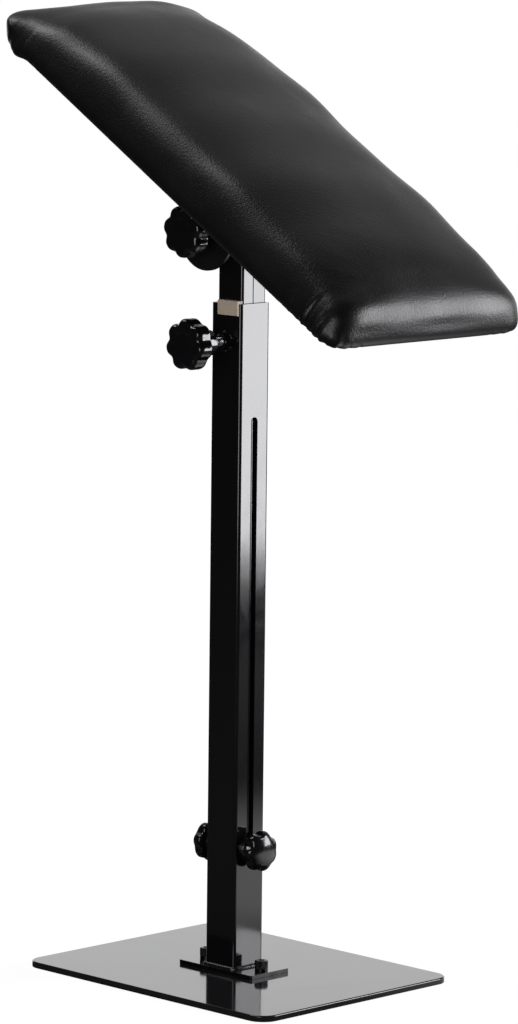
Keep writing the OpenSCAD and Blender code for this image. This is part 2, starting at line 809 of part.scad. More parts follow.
module pad_board() {
    color([0.72, 0.56, 0.38])
    difference() {
        at_pad() board_shape(board_z, board_top_z, 0);
        in_pad_hinge()
        at_bracket_screws()
            translate([0, 0, board_z - cut]) cylinder(d = tee_hole_d, h = board_t + 2 * cut);
    }
}

module pad_foam() {
    recess_d = tee_flange_d + 2 * layer_gap;
    color([0.85, 0.8, 0.6])
    difference() {
        at_pad() ring_skin(pad_rings(cover_t + layer_gap));
        at_pad() board_shape(-cut, board_top_z + layer_gap, layer_gap);
        in_pad_hinge()
        at_bracket_screws()
            translate([0, 0, board_top_z - cut])
            cylinder(d = recess_d, h = cut + tee_flange_t + layer_gap);
    }
}

module pad_cover() {
    color([0.07, 0.07, 0.07])
    at_pad()
    difference() {
        ring_skin(pad_rings(0));
        ring_skin(pad_rings(cover_t));
        translate([0, 0, -cut])
            linear_extrude(cover_t + 2 * cut)
            rounded_rect(pad_l - 2 * hem_w, pad_w - 2 * hem_w, pad_corner_r - pad_edge_r);
    }
}

module underside_cloth() {
    inset = hem_w + layer_gap;
    color([0.04, 0.04, 0.04])
    difference() {
        at_pad()
            linear_extrude(cloth_t)
            rounded_rect(pad_l - 2 * inset, pad_w - 2 * inset, pad_corner_r - pad_edge_r);
        in_pad_hinge()
        at_bracket_screws()
            translate([0, 0, -cut]) cylinder(d = screw_hole_d, h = cloth_t + 2 * cut);
    }
}

base_plate();
foot_flange();
foot_weld();
foot_screws();
foot_lock_washers();
outer_tube();
clamp_nut();
wear_strip();
clamp_stud();
clamp_knob();
inner_tube();
slot_bolt();
slot_washers();
front_knob_insert();
front_slot_knob();
rear_knob_insert();
rear_slot_knob();
hinge_sleeve();
hinge_bushes();
hinge_bolt();
tilt_knob_insert();
tilt_knob();
tilt_bracket();
bracket_screws();
bracket_washers();
tee_nuts();
pad_board();
pad_foam();
pad_cover();
underside_cloth();
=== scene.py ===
import json
from math import atan2, cos, exp, hypot, pi, radians, sin

import bpy
from mathutils import Matrix, Vector


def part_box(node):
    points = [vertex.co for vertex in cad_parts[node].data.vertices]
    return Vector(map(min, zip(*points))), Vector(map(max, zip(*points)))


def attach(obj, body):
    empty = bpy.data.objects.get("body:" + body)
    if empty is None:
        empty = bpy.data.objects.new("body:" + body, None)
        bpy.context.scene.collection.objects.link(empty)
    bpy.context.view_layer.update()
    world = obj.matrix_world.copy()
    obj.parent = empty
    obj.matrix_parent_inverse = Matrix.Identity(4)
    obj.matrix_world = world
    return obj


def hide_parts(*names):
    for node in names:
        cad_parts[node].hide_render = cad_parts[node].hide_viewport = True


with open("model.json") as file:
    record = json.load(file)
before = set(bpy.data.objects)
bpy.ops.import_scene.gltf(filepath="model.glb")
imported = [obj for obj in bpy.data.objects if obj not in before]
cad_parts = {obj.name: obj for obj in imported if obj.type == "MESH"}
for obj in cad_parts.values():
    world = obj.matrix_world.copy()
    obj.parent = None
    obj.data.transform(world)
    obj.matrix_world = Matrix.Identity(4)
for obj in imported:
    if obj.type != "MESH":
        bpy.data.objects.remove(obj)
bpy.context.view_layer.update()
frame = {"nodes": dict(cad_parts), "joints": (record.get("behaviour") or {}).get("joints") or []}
nodes = frame["nodes"]
joints = {joint["name"]: joint for joint in frame["joints"]}

# Studio and camera.
# The stand is seen from in front and to its right, a little from above, with a long lens. It
# stands on white paper in front of a white backdrop, with four softboxes round it.

yaw, pitch, roll = 0.78443, 0.13663, 0.0114
eye = Vector((3.4585, -3.4374, 1.1254))
picture_height_px, focal_length_px = 1024, 5106.3
sensor_mm = 36
ahead = Vector((-sin(yaw) * cos(pitch), cos(yaw) * cos(pitch), -sin(pitch)))
level_right = Vector((cos(yaw), sin(yaw), 0))
level_up = level_right.cross(ahead)
right = cos(roll) * level_right + sin(roll) * level_up
up = -sin(roll) * level_right + cos(roll) * level_up
bpy.ops.object.camera_add()
camera = bpy.context.object
# the columns are the picture's right, the picture's up, the way back to the eye, and the eye
camera.matrix_world = Matrix((
    (right.x, up.x, -ahead.x, eye.x),
    (right.y, up.y, -ahead.y, eye.y),
    (right.z, up.z, -ahead.z, eye.z),
    (0, 0, 0, 1)))
camera.data.sensor_width = sensor_mm
camera.data.lens = sensor_mm * focal_length_px / picture_height_px
camera.data.clip_end = 100
bpy.context.scene.camera = camera
bpy.context.scene.view_settings.view_transform = "Standard"


def softbox(name, place, target, size, power, colour=(1, 1, 1)):
    """A soft lamp of that size in metres and power in watts, facing the target."""
    bpy.ops.object.light_add(type="AREA", location=place)
    lamp = bpy.context.object
    lamp.name = name
    lamp.rotation_euler = (Vector(target) - Vector(place)).to_track_quat("-Z", "Y").to_euler()
    lamp.data.shape = "RECTANGLE"
    lamp.data.size, lamp.data.size_y = size
    lamp.data.energy = power
    lamp.data.color = colour


softbox("rear_right_softbox", place=(1.38, 1.47, 0.87), target=(0, 0, 0.87), size=(0.7, 1.5),
        power=44, colour=(0.97, 0.97, 1))
softbox("overhead_softbox", place=(-0.95, -0.55, 2.3), target=(-0.2, -0.55, 0.7),
        size=(0.6, 1.4), power=17)
softbox("ceiling_bounce", place=(-0.5, 1.6, 4.0), target=(-0.5, 1.5, 0), size=(2.2, 3.8), power=8)
softbox("front_strip", place=(1.25, -2.5, 0.82), target=(0, 0, 0.55), size=(1.2, 1.6), power=25)


def add(tree, kind, place=(0, 0), **values):
    """A new node. A value sets a property, or an input whose spaces are written as _."""
    made = tree.nodes.new(kind)
    made.location = place
    for key, value in values.items():
        if hasattr(made, key):
            setattr(made, key, value)
        else:
            made.inputs[key.replace("_", " ")].default_value = value
    return made


def join(tree, start, end):
    tree.links.new(start, end)


def coordinates(tree):
    """The piece's own coordinates."""
    return add(tree, "ShaderNodeTexCoord", (-1400, 0)).outputs["Object"]


# The eye sees the world white, and the stand is lit by it only faintly.
world = bpy.data.worlds.new("studio")
bpy.context.scene.world = world
world.use_nodes = True
tree = world.node_tree
tree.nodes.clear()
out = add(tree, "ShaderNodeOutputWorld", (600, 0))
rays = add(tree, "ShaderNodeLightPath", (-400, 200))
seen = add(tree, "ShaderNodeBackground", (0, 100), Color=(1, 1, 1, 1), Strength=1)
dim = add(tree, "ShaderNodeBackground", (0, -100), Color=(0.93, 0.94, 1, 1), Strength=0.028)
which = add(tree, "ShaderNodeMixShader", (300, 0))
join(tree, rays.outputs["Is Camera Ray"], which.inputs[0])
join(tree, dim.outputs[0], which.inputs[1])
join(tree, seen.outputs[0], which.inputs[2])
join(tree, which.outputs[0], out.inputs[0])


def card_material(name, grey, shine_through, see_through=False):
    """Pale paper that the eye sees as white and that gloss sees at the given strength.

    A see-through card is there for the lamps and for gloss: the eye looks past it to the white
    world, so it doesn't hide the stand from behind.
    """
    made = bpy.data.materials.new(name)
    made.use_nodes = True
    tree = made.node_tree
    tree.nodes.clear()
    out = add(tree, "ShaderNodeOutputMaterial", (600, 0))
    paper = add(tree, "ShaderNodeBsdfDiffuse", (0, -100), Color=(grey, grey, grey, 1))
    rays = add(tree, "ShaderNodeLightPath", (-600, 200))
    gloss = add(tree, "ShaderNodeMath", (-300, 100), operation="MAXIMUM")
    join(tree, rays.outputs["Is Glossy Ray"], gloss.inputs[0])
    join(tree, rays.outputs["Is Transmission Ray"], gloss.inputs[1])
    weak = add(tree, "ShaderNodeMath", (-150, 100), operation="MULTIPLY")
    weak.inputs[1].default_value = shine_through
    join(tree, gloss.outputs[0], weak.inputs[0])
    most = add(tree, "ShaderNodeMath", (0, 200), operation="MAXIMUM")
    join(tree, rays.outputs["Is Camera Ray"], most.inputs[0])
    join(tree, weak.outputs[0], most.inputs[1])
    glow = add(tree, "ShaderNodeEmission", (150, 100))
    join(tree, most.outputs[0], glow.inputs["Strength"])
    both = add(tree, "ShaderNodeAddShader", (400, 0))
    join(tree, paper.outputs[0], both.inputs[0])
    join(tree, glow.outputs[0], both.inputs[1])
    join(tree, both.outputs[0], out.inputs[0])
    if see_through:
        clear = add(tree, "ShaderNodeBsdfTransparent", (400, 200))
        past = add(tree, "ShaderNodeMixShader", (500, 0))
        join(tree, rays.outputs["Is Camera Ray"], past.inputs[0])
        join(tree, both.outputs[0], past.inputs[1])
        join(tree, clear.outputs[0], past.inputs[2])
        join(tree, past.outputs[0], out.inputs[0])
    return made, glow, weak


bpy.ops.mesh.primitive_plane_add(size=30, location=(0, 0, 0))
floor = bpy.context.object
floor.name = "studio_floor"
floor_paper, floor_glow, floor_weak = card_material("floor_paper", grey=0.09, shine_through=1.0)
# The paper is a shade under white beneath the stand, so that its soft shadow shows there.
tree = floor_paper.node_tree
where = coordinates(tree)
away = add(tree, "ShaderNodeVectorMath", (-1100, 0), operation="LENGTH")
join(tree, where, away.inputs[0])
shade = add(tree, "ShaderNodeMapRange", (-900, 0), interpolation_type="SMOOTHSTEP",
            From_Min=0.22, From_Max=0.75, To_Min=0.95, To_Max=1.0)
join(tree, away.outputs["Value"], shade.inputs["Value"])
join(tree, shade.outputs["Result"], floor_glow.inputs["Color"])
# Painted light: gloss sees the floor glow bright only near the stand, a painted pool where the
# lamps are trained on it.
painted_pool_centre = (0.38, 0.38, 0)
painted_pool = add(tree, "ShaderNodeVectorMath", (-1100, -300), operation="DISTANCE")
painted_pool.inputs[1].default_value = painted_pool_centre
join(tree, where, painted_pool.inputs[0])
fade = add(tree, "ShaderNodeMapRange", (-900, -300), interpolation_type="SMOOTHSTEP",
           From_Min=0.15, From_Max=0.47, To_Min=1.5, To_Max=0.02)
join(tree, painted_pool.outputs["Value"], fade.inputs["Value"])
join(tree, fade.outputs["Result"], floor_weak.inputs[1])
floor.data.materials.append(floor_paper)

backdrop_w, backdrop_h = 11, 9
bpy.ops.mesh.primitive_plane_add(size=1)
backdrop = bpy.context.object
backdrop.name = "studio_backdrop"
backdrop.scale = (backdrop_w, backdrop_h, 1)
backdrop.rotation_euler = (pi / 2, 0, yaw)
backdrop.location = (-1.8, 4.6, backdrop_h / 2)
backdrop_paper, _, backdrop_weak = card_material("backdrop_paper", grey=0.8, shine_through=1.3,
                                                 see_through=True)
# Painted light: gloss sees it glow bright near the floor and dimmer above, a painted gradient as if
# it were lit from below.
bright_below, dim_above = 1.0, 2.6
tree = backdrop_paper.node_tree
height = add(tree, "ShaderNodeSeparateXYZ", (-1100, -300))
join(tree, coordinates(tree), height.inputs["Vector"])
fade = add(tree, "ShaderNodeMapRange", (-900, -300), interpolation_type="SMOOTHSTEP",
           From_Min=bright_below / backdrop_h - 0.5, From_Max=dim_above / backdrop_h - 0.5,
           To_Min=1.3, To_Max=0.40)
join(tree, height.outputs["Y"], fade.inputs["Value"])
join(tree, fade.outputs["Result"], backdrop_weak.inputs[1])
backdrop.data.materials.append(backdrop_paper)

# Base plate.
# A 6 mm steel plate with rounded corners, its edges broken by a small chamfer. It is stoved
# in gloss black, so it mirrors the post and carries a little dust and a few fine rubs.


def only(piece):
    """Selects this piece alone."""
    bpy.ops.object.select_all(action="DESELECT")
    piece.select_set(True)
    bpy.context.view_layer.objects.active = piece


def apply_modifiers(piece):
    only(piece)
    for name in [m.name for m in piece.modifiers]:
        bpy.ops.object.modifier_apply(modifier=name)


def flat_faces_shaded_flat(piece):
    flats = piece.modifiers.new("flats", "WEIGHTED_NORMAL")
    flats.keep_sharp = True
    flats.weight = 100
    apply_modifiers(piece)


def eased_copy(node, width):
    """The CAD node with its sharp edges rounded by width."""
    piece = bpy.data.objects.new(node + "_eased", nodes[node].data.copy())
    bpy.context.scene.collection.objects.link(piece)
    piece.data.materials.clear()
    only(piece)
    bpy.ops.object.mode_set(mode="EDIT")
    bpy.ops.mesh.select_all(action="SELECT")
    bpy.ops.mesh.remove_doubles(threshold=0.00001)
    bpy.ops.mesh.dissolve_limited(angle_limit=radians(0.5))
    bpy.ops.object.mode_set(mode="OBJECT")
    edge = piece.modifiers.new("edge", "BEVEL")
    edge.width = width
    edge.segments = 2
    edge.limit_method = "ANGLE"
    edge.angle_limit = radians(35)
    edge.harden_normals = False
    apply_modifiers(piece)
    bpy.ops.object.shade_smooth_by_angle(angle=radians(32))
    flat_faces_shaded_flat(piece)
    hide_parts(node)
    return piece


def dress(piece, material):
    piece.data.materials.clear()
    piece.data.materials.append(material)


def dress_node(node, material):
    slots = nodes[node].material_slots
    if not slots:
        nodes[node].data.materials.append(material)
    for slot in slots:
        slot.material = material


def noise(tree, along, place, **values):
    made = add(tree, "ShaderNodeTexNoise", place, **values)
    join(tree, along, made.inputs["Vector"])
    return made


def new_material(name):
    """A material, its nodes and its Principled BSDF."""
    made = bpy.data.materials.new(name)
    made.use_nodes = True
    return made, made.node_tree, made.node_tree.nodes["Principled BSDF"]


def colour_by(tree, skin, share, first, second):
    """Base colour that goes from the first to the second as share goes from 0 to 1."""
    tone = add(tree, "ShaderNodeMix", (-300, 250), data_type="RGBA", A=(*first, 1), B=(*second, 1))
    join(tree, share, tone.inputs["Factor"])
    join(tree, tone.outputs["Result"], skin.inputs["Base Color"])


def roughness_by(tree, skin, share, gloss, dull, start=0.0, end=1.0):
    """Roughness that goes from gloss to dull as share goes from start to end."""
    rough = add(tree, "ShaderNodeMapRange", (-300, 0), From_Min=start, From_Max=end,
                To_Min=gloss, To_Max=dull)
    join(tree, share, rough.inputs["Value"])
    join(tree, rough.outputs["Result"], skin.inputs["Roughness"])


def relief_by(tree, skin, height, depth):
    """Bump of that depth in metres."""
    bump = add(tree, "ShaderNodeBump", (-300, -250), Strength=1, Distance=depth)
    join(tree, height, bump.inputs["Height"])
    join(tree, bump.outputs["Normal"], skin.inputs["Normal"])


# Fine unevenness of a sprayed coat, with rubs and dust: one group for every painted piece.
coat = bpy.data.node_groups.new("sprayed_coat", "ShaderNodeTree")
for socket, value in (("Peel Scale", 900.0), ("Rub Scale", 30.0), ("Dust", 0.1)):
    made = coat.interface.new_socket(socket, in_out="INPUT", socket_type="NodeSocketFloat")
    made.default_value = value
for socket in ("Height", "Rub", "Dust"):
    coat.interface.new_socket(socket, in_out="OUTPUT", socket_type="NodeSocketFloat")
given = add(coat, "NodeGroupInput", (-900, 0))
gave = add(coat, "NodeGroupOutput", (700, 0))
where = coordinates(coat)
peel = noise(coat, where, (-500, 300), Detail=2.0, Roughness=0.5)
join(coat, given.outputs["Peel Scale"], peel.inputs["Scale"])
join(coat, peel.outputs["Fac"], gave.inputs["Height"])
cloud = noise(coat, where, (-500, 0), Detail=6.0, Roughness=0.65, Distortion=0.6)
join(coat, given.outputs["Rub Scale"], cloud.inputs["Scale"])
rub = add(coat, "ShaderNodeMapRange", (-200, 0), From_Min=0.42, From_Max=0.72)
join(coat, cloud.outputs["Fac"], rub.inputs["Value"])
join(coat, rub.outputs["Result"], gave.inputs["Rub"])
specks = add(coat, "ShaderNodeTexVoronoi", (-500, -300), Scale=420.0)
join(coat, where, specks.inputs["Vector"])
speck = add(coat, "ShaderNodeMapRange", (-200, -300), From_Min=0.10, From_Max=0.02)
join(coat, specks.outputs["Distance"], speck.inputs["Value"])
faint = add(coat, "ShaderNodeMath", (100, -300), operation="MULTIPLY")
join(coat, speck.outputs["Result"], faint.inputs[0])
join(coat, given.outputs["Dust"], faint.inputs[1])
join(coat, faint.outputs[0], gave.inputs["Dust"])
dust_colour = (0.30, 0.29, 0.28)


def painted(name, colour, gloss, dull, peel, rubs, dust, depth, specular=0.5, metallic=0.0):
    """Sprayed metal: its colour, its roughness where it is bright and where it is rubbed dull,
    the fineness of the spray's unevenness and of the rubs, and the depth of the unevenness."""
    made, tree, skin = new_material(name)
    skin.inputs["Specular IOR Level"].default_value = specular
    skin.inputs["Metallic"].default_value = metallic
    group = add(tree, "ShaderNodeGroup", (-700, 0), node_tree=coat)
    group.inputs["Peel Scale"].default_value = peel
    group.inputs["Rub Scale"].default_value = rubs
    group.inputs["Dust"].default_value = dust
    colour_by(tree, skin, group.outputs["Dust"], colour, dust_colour)
    roughness_by(tree, skin, group.outputs["Rub"], gloss, dull)
    relief_by(tree, skin, group.outputs["Height"], depth)
    return made


plate_paint = painted("base_gloss_black", (0.012, 0.012, 0.013), gloss=0.07, dull=0.14,
                      peel=700, rubs=14, dust=0.12, depth=0.000004)
base = eased_copy("base_plate", width=0.0005)
dress(base, plate_paint)
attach(base, "stand")

# Foot of the post.
# A flange cut from 4 mm flat bar and welded round the foot of the post, held down by two
# socket cap screws on spring washers. The screws are blackened steel with straight knurling.

tube_paint = painted("post_black", (0.0045, 0.0045, 0.0055), gloss=0.09, dull=0.15,
                     peel=800, rubs=22, dust=0.06, depth=0.000008)
flange_side_shade_paint = painted("flange_sides_painted_shade", (0.004, 0.004, 0.0045), gloss=0.24, dull=0.36,
                       peel=900, rubs=40, dust=0.05, depth=0.00001, specular=0.22)
flange = eased_copy("foot_flange", width=0.0005)
dress(flange, tube_paint)
flange.data.materials.append(flange_side_shade_paint)
# painted shade: the flange's side faces get a duller, less reflective and slightly darker copy of
# the top's coat
for face in flange.data.polygons:
    face.material_index = 0 if face.normal.z > 0.5 else 1
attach(flange, "stand")

weld_low, weld_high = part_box("foot_weld")
weld_reach = (weld_high.z - weld_low.z) * 0.97
tube_half, tube_round = 0.020, 0.0035
ripples = 44


def square_way(turn, half, corner):
    """Point and outward direction a share of the way round a square with round corners."""
    straight = 2 * (half - corner)
    bend = pi / 2 * corner
    run = (turn % 1) * 4 * (straight + bend)
    side, along = divmod(run, straight + bend)
    quarter = Matrix.Rotation(side * pi / 2, 2)
    if along < straight:
        point, out_way = Vector((half, along - straight / 2)), Vector((1, 0))
    else:
        a = (along - straight) / corner
        out_way = Vector((cos(a), sin(a)))
        point = Vector((half - corner, half - corner)) + corner * out_way
    return quarter @ point, quarter @ out_way


def close_skin(piece, threshold=None):
    """Merges what meets within the threshold and turns the faces outwards."""
    only(piece)
    bpy.ops.object.mode_set(mode="EDIT")
    bpy.ops.mesh.select_all(action="SELECT")
    if threshold:
        bpy.ops.mesh.remove_doubles(threshold=threshold)
    bpy.ops.mesh.normals_make_consistent(inside=False)
    bpy.ops.object.mode_set(mode="OBJECT")


bpy.ops.mesh.primitive_torus_add(major_segments=300, minor_segments=14, major_radius=tube_half,
                                 minor_radius=weld_reach)
weld = bpy.context.object
weld.name = "foot_weld_bead"
for vertex in weld.data.vertices:
    turn = (Vector((vertex.co.x, vertex.co.y)).angle_signed(Vector((1, 0)), 0) / (2 * pi)) % 1
    out = hypot(vertex.co.x, vertex.co.y) - tube_half
    lift = vertex.co.z
    # the bead lies in ripples that lean forward, and is thicker at some places than at others
    ripple = abs(sin(pi * (turn * ripples + 0.35 * lift / weld_reach)))
    uneven = 0.05 * sin(2 * pi * turn * 9) + 0.04 * sin(2 * pi * turn * 23 + 1)
    thickness = min(0.74 + 0.24 * ripple + uneven, 1)
    point, out_way = square_way(turn, tube_half, tube_round)
    spot = point + out_way * out * thickness
    vertex.co = (spot.x, spot.y, weld_low.z + lift * thickness)
close_skin(weld)
bpy.ops.object.shade_smooth()
dress(weld, painted("weld_black", (0.010, 0.010, 0.011), gloss=0.05, dull=0.12,
                    peel=380, rubs=60, dust=0.02, depth=0.00012))
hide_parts("foot_weld")
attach(weld, "stand")


def rolled(name, rings, columns, outline):
    """A closed skin: a grid rolled round the axis, one row for each (height, radius, depth).

    The outline says what share of the depth is cut away at a share of the way round.
    """
    bpy.ops.mesh.primitive_grid_add(x_subdivisions=columns, y_subdivisions=len(rings) - 1, size=1)
    piece = bpy.context.object
    piece.name = name
    for i, vertex in enumerate(piece.data.vertices):
        row, column = divmod(i, columns + 1)
        z, r, depth = rings[row]
        q = max(r - depth * outline(column / columns, z), 0)
        a = pi / 2 + 2 * pi * (column % columns) / columns
        vertex.co = (q * cos(a), q * sin(a), z)
    close_skin(piece, threshold=0.000001)
    bpy.ops.object.shade_smooth_by_angle(angle=radians(40))
    return piece


def knurling(turn, z):
    return abs(sin(pi * turn * knurls))


def cut_away(piece, tool):
    """Cuts the tool's shape out of the piece and removes the tool."""
    cut = piece.modifiers.new("cut", "BOOLEAN")
    cut.object = tool
    cut.operation = "DIFFERENCE"
    cut.solver = "EXACT"
    apply_modifiers(piece)
    bpy.data.objects.remove(tool)


screw_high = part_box("foot_screws")[1]
head_foot, head_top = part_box("foot_lock_washers")[1].z, screw_high.z
head_r, shank_r, knurls, knurl_depth = 0.0065, 0.004, 36, 0.00028
key_across, key_deep = 0.006, 0.004
lead_deep, lead_low_r, lead_high_r, lead_z = 0.0018, 0.0024, 0.0042, head_top - 0.0002
screw_x, shank_l = screw_high.x - head_r, head_foot + 0.0005
# going up the head: height over its foot or below its top, distance in from its side, knurl
rising = ((0, head_r, 0), (0, 0.0007, 0), (0.0001, 0.0004, 0), (0.0004, 0.0001, 0.00006),
          (0.0008, 0, knurl_depth))
falling = ((0.0012, 0, knurl_depth), (0.0008, 0.0001, 0.00010), (0.0004, 0.0004, 0),
           (0.0001, 0.0008, 0), (0, 0.0012, 0), (0, head_r, 0))
head_rings = ([(head_foot + over, head_r - inside, cut) for over, inside, cut in rising]
              + [(head_top - under, head_r - inside, cut) for under, inside, cut in falling])
steel = painted("foot_screw_steel", (0.02, 0.02, 0.022), gloss=0.22, dull=0.4,
                peel=500, rubs=120, dust=0.05, depth=0.00001, metallic=0.85)
for side in (-1, 1):
    head = rolled("foot_screw_head", head_rings, 288, knurling)
    bpy.ops.mesh.primitive_cylinder_add(vertices=6, radius=key_across / 2 / cos(pi / 6),
                                        depth=2 * key_deep, location=(0, 0, head_top))
    cut_away(head, bpy.context.object)
    bpy.ops.mesh.primitive_cone_add(vertices=48, radius1=lead_low_r, radius2=lead_high_r,
                                    depth=lead_deep, location=(0, 0, lead_z))
    cut_away(head, bpy.context.object)
    bpy.ops.mesh.primitive_cylinder_add(vertices=48, radius=shank_r, depth=shank_l,
                                        location=(0, 0, shank_l / 2))
    shank = bpy.context.object
    only(head)
    shank.select_set(True)
    bpy.ops.object.join()
    head.data.transform(Matrix.Translation((side * screw_x, 0, 0)))
    bpy.ops.object.shade_smooth_by_angle(angle=radians(32))
    dress(head, steel)
    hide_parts("foot_screws")
    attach(head, "stand")

# Lock washers.
# Square-section spring washers under the foot screws' heads: one coil of blackened steel,
# cut through at one place, its two ends standing slightly out of line.

washer_in, washer_out, washer_foot = 0.0042, 0.0064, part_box("foot_flange")[1].z
washer_low, washer_high, out_of_line = 0.000154, 0.001846, 0.0001
corners = ((washer_out, washer_high), (washer_in, washer_high),
           (washer_in, washer_low), (washer_out, washer_low))
rows_round, gap = 96, 0.04
last_row = rows_round - 1
for side in (-1, 1):
    bpy.ops.mesh.primitive_torus_add(major_segments=rows_round, minor_segments=len(corners),
                                     major_radius=washer_out, minor_radius=washer_high / 2)
    washer = bpy.context.object
    washer.name = "lock_washer"
    cut_at = 0.6 if side > 0 else 2.2
    for i, vertex in enumerate(washer.data.vertices):
        around, corner = divmod(i, len(corners))
        r, z = corners[corner]
        a = 2 * pi * (gap / 2 + (1 - gap) * around / last_row) + cut_at
        lean = out_of_line * (around / last_row - 0.5)
        vertex.co = (side * screw_x + r * cos(a), r * sin(a), washer_foot + z + lean)
    only(washer)
    bpy.ops.object.mode_set(mode="EDIT")
    bpy.ops.mesh.select_all(action="DESELECT")
    bpy.ops.object.mode_set(mode="OBJECT")
    for face in washer.data.polygons:
        face.select = {v // len(corners) for v in face.vertices} == {0, last_row}
    bpy.ops.object.mode_set(mode="EDIT")
    bpy.ops.mesh.select_mode(type="FACE")
    bpy.ops.mesh.delete(type="ONLY_FACE")
    bpy.ops.mesh.select_mode(type="VERT")
    bpy.ops.mesh.select_all(action="SELECT")
    bpy.ops.mesh.fill_holes(sides=4)
    bpy.ops.object.mode_set(mode="OBJECT")
    close_skin(washer)
    bpy.ops.object.shade_smooth_by_angle(angle=radians(32))
    dress(washer, steel)
    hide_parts("foot_lock_washers")
    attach(washer, "stand")

# Outer tube.
# A square tube of 40 mm with 2 mm walls, its long corners rolled round. Both side walls have a
# long slot with round ends. It is powder coated in satin black and stands on the flange.

tube = eased_copy("outer_tube", width=0.0003)
dress(tube, tube_paint)
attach(tube, "stand")

# Clamp nut.
# A hexagon nut welded over the hole in the -Y wall with short tacks round its foot, and
# coated together with the tube, so the paint rounds its corners.

clamp_z = joints["clamp_turn"]["pos_m"][2]
tack_tall, tack_deep = 0.0019, 0.0017
nut = eased_copy("clamp_nut", width=0.0005)
tacks = []
for angle, reach, wide in ((100, 0.0086, 0.0030), (150, 0.0088, 0.0022), (208, 0.0086, 0.0028),
                           (262, 0.0087, 0.0032), (318, 0.0088, 0.0024), (30, 0.0087, 0.0028)):
    a = radians(angle)
    bpy.ops.mesh.primitive_uv_sphere_add(segments=24, ring_count=12, radius=1)
    tack = bpy.context.object
    tack.data.transform(
        Matrix.Translation((reach * cos(a), -tube_half, clamp_z + reach * sin(a)))
        @ Matrix.Rotation(-a, 4, "Y") @ Matrix.Diagonal((tack_tall, tack_deep, wide, 1)))
    bpy.ops.object.shade_smooth()
    tacks.append(tack)
only(nut)
for tack in tacks:
    tack.select_set(True)
bpy.ops.object.join()
dress(nut, painted("nut_black", (0.010, 0.010, 0.011), gloss=0.13, dull=0.24,
                   peel=1500, rubs=60, dust=0.02, depth=0.00002))
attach(nut, "stand")

# Wear strip.
# A beige nylon strip folded over the upper edge of the outer tube. It fills the play between
# the two tubes, and the clamp screw presses on it instead of on the inner tube.

nylon, tree, skin = new_material("strip_nylon_beige")
where = coordinates(tree)
mottle = noise(tree, where, (-800, 100), Scale=160.0, Detail=5.0, Roughness=0.6)
scuffs = noise(tree, where, (-800, -200), Scale=1200.0, Detail=2.0)
colour_by(tree, skin, mottle.outputs["Fac"], (0.680, 0.535, 0.420), (0.800, 0.650, 0.530))
roughness_by(tree, skin, mottle.outputs["Fac"], gloss=0.45, dull=0.62)
relief_by(tree, skin, scuffs.outputs["Fac"], depth=0.00002)
strip = eased_copy("wear_strip", width=0.0004)
dress(strip, nylon)
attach(strip, "stand")

# Clamp stud.
# An M8 stud in bright zinc with a rolled thread of 1.25 mm pitch. It screws through the welded
# nut and carries the clamp knob, whose hollow is moulded round it.


def plated(name, colour, gloss, dull):
    """Bare or plated metal with fine streaks from the machining, along its Z axis."""
    made, tree, skin = new_material(name)
    skin.inputs["Base Color"].default_value = (*colour, 1)
    skin.inputs["Metallic"].default_value = 1
    streaks = add(tree, "ShaderNodeMapping", (-1000, 0), Scale=(900, 900, 60))
    join(tree, coordinates(tree), streaks.inputs["Vector"])
    grain = noise(tree, streaks.outputs["Vector"], (-800, 0), Scale=1.0, Detail=3.0)
    roughness_by(tree, skin, grain.outputs["Fac"], gloss, dull)
    relief_by(tree, skin, grain.outputs["Fac"], depth=0.000006)
    return made


def thread(turn, z):
    """Depth share of the thread's groove at a place on the stud."""
    flank = abs(((z / thread_pitch - turn) % 1) * 2 - 1)
    return min(max(flank * 1.35 - 0.2, 0), 1)


thread_pitch, thread_r, thread_depth = 0.00125, 0.0040, 0.0007
end_r, end_chamfer = 0.0032, 0.0003
stud_low, stud_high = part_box("clamp_stud")
stud_l = stud_high.y - stud_low.y
rows = 270
threaded_l = stud_l - 2 * end_chamfer
stud_rings = [(0, 0, 0), (0, end_r, 0)]
stud_rings += [(end_chamfer + threaded_l * k / rows, thread_r, thread_depth)
               for k in range(rows + 1)]
stud_rings += [(stud_l, end_r, 0), (stud_l, 0, 0)]
to_minus_y = Matrix.Rotation(pi / 2, 4, "X")
zinc = plated("bright_zinc", (0.60, 0.61, 0.63), gloss=0.18, dull=0.34)
stud = rolled("clamp_stud_thread", stud_rings, 48, thread)
stud.data.transform(Matrix.Translation((0, stud_high.y, clamp_z)) @ to_minus_y)
dress(stud, zinc)
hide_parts("clamp_stud")
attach(stud, "clamp_screw")

# Star knobs.
# Moulded black knobs with seven lobes: two of 50 mm for the clamp and the tilt, dished inside a
# raised rim, and two of 40 mm for the slots, domed. A flared hub carries each head.


def smooth_rings(rings, steps):
    """Rings of a closed profile, with more set between them on a curve through all of them."""
    out = []
    for k in range(len(rings) - 1):
        a, b, c, d = (Vector(rings[max(k + j - 1, 0)] if k + j - 1 < len(rings) else rings[-1])
                      for j in range(4))
        for n in range(steps):
            t = n / steps
            out.append(tuple(b + 0.5 * t * (c - a + t * (2 * a - 5 * b + 4 * c - d
                                                         + t * (3 * (b - c) + d - a)))))
    out.append(tuple(rings[-1]))
    return out


def lobes(turn, z):
    """How far the valleys are cut in: seven of them, wide, between rounded lobes."""
    return ((1 - cos(14 * pi * turn)) / 2) ** 1.6


